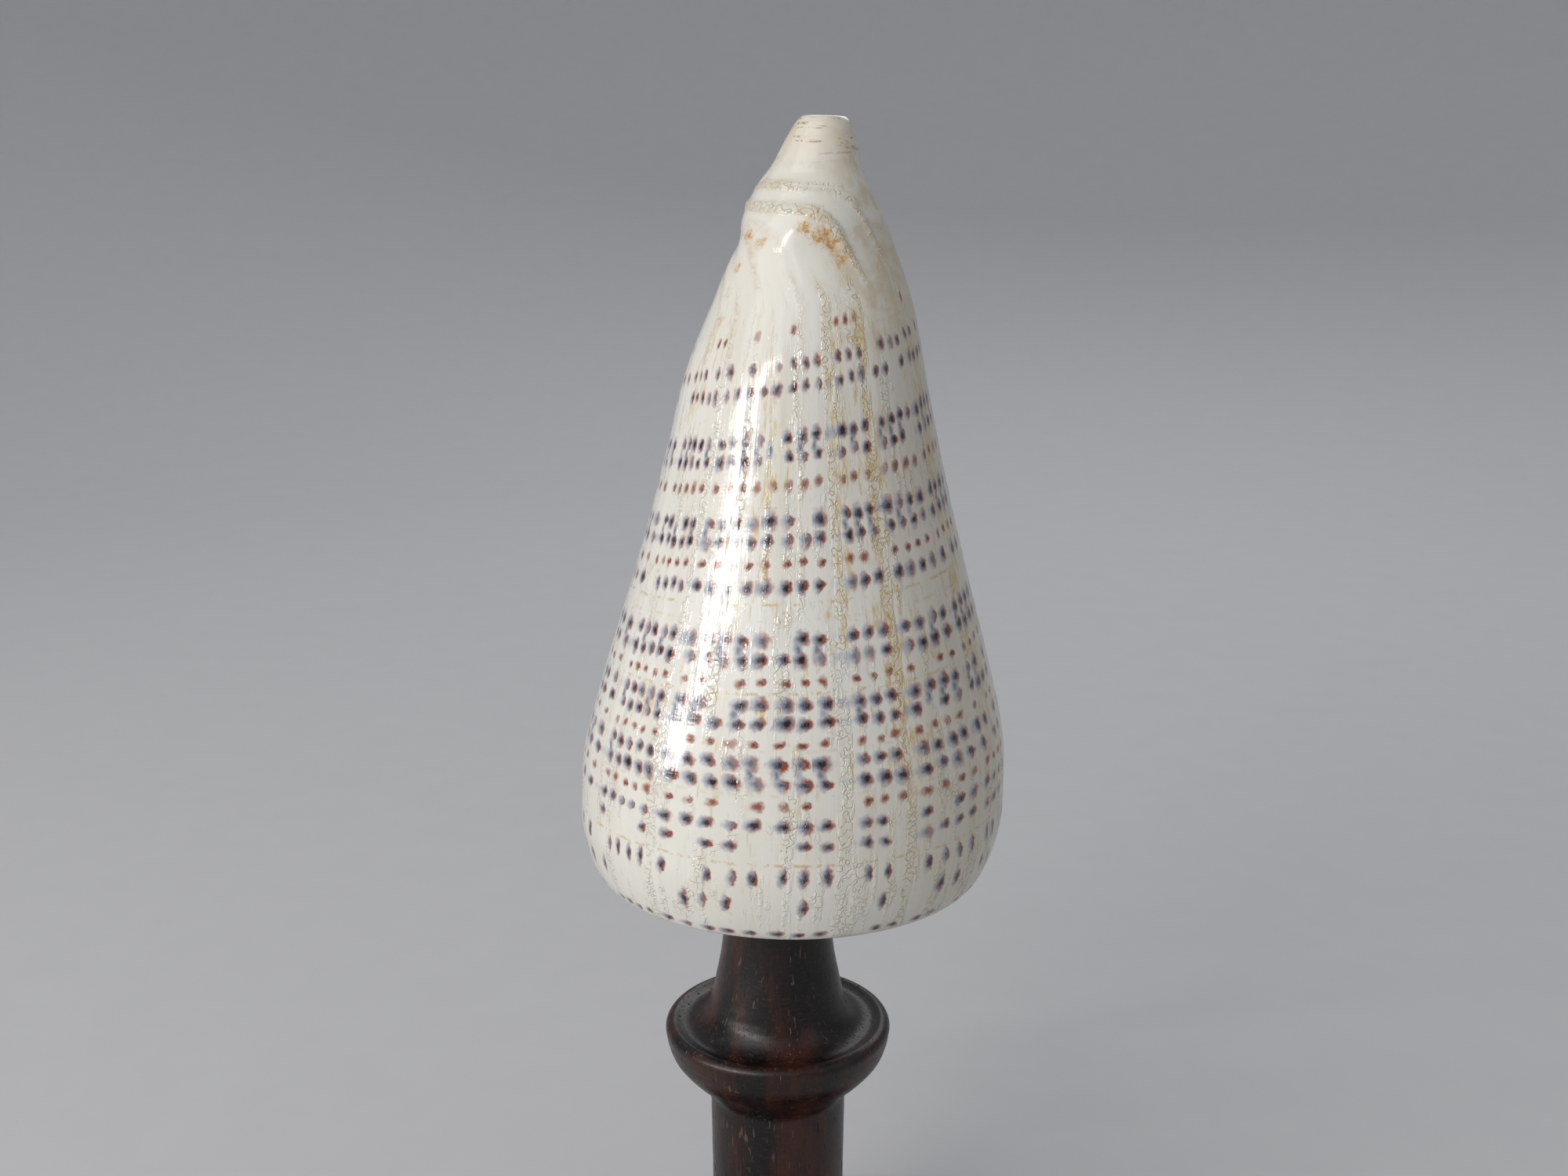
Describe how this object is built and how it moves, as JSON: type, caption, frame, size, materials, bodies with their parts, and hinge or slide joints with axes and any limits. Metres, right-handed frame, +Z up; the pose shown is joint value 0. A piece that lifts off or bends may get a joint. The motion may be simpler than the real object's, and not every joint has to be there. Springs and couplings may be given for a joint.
{
  "type": "cone shell",
  "caption": "Polished spotted cone shell fixed point up on a turned dark wood stand with a round foot.",
  "frame": {"origin": "bottom centre of the round foot, on the stand's turning axis", "axes": "+Z up along the stand towards the shell's anterior end; -Y faces the side of the shell away from its aperture; +X is towards the outer lip"},
  "size_m": [0.086, 0.086, 0.23],
  "materials": {
    "polished_shell": "glossy polished shell, ivory with rows of blue-grey and red-brown spots and ochre growth lines",
    "turned_wood": "satin waxed dark tropical hardwood, turned, with fine vertical pores",
    "foot_wood": "satin waxed dark tropical hardwood, turned"
  },
  "bodies": {
    "root": {"shell": "polished_shell", "spindle": "turned_wood", "foot": "foot_wood"}
  },
  "joints": []
}
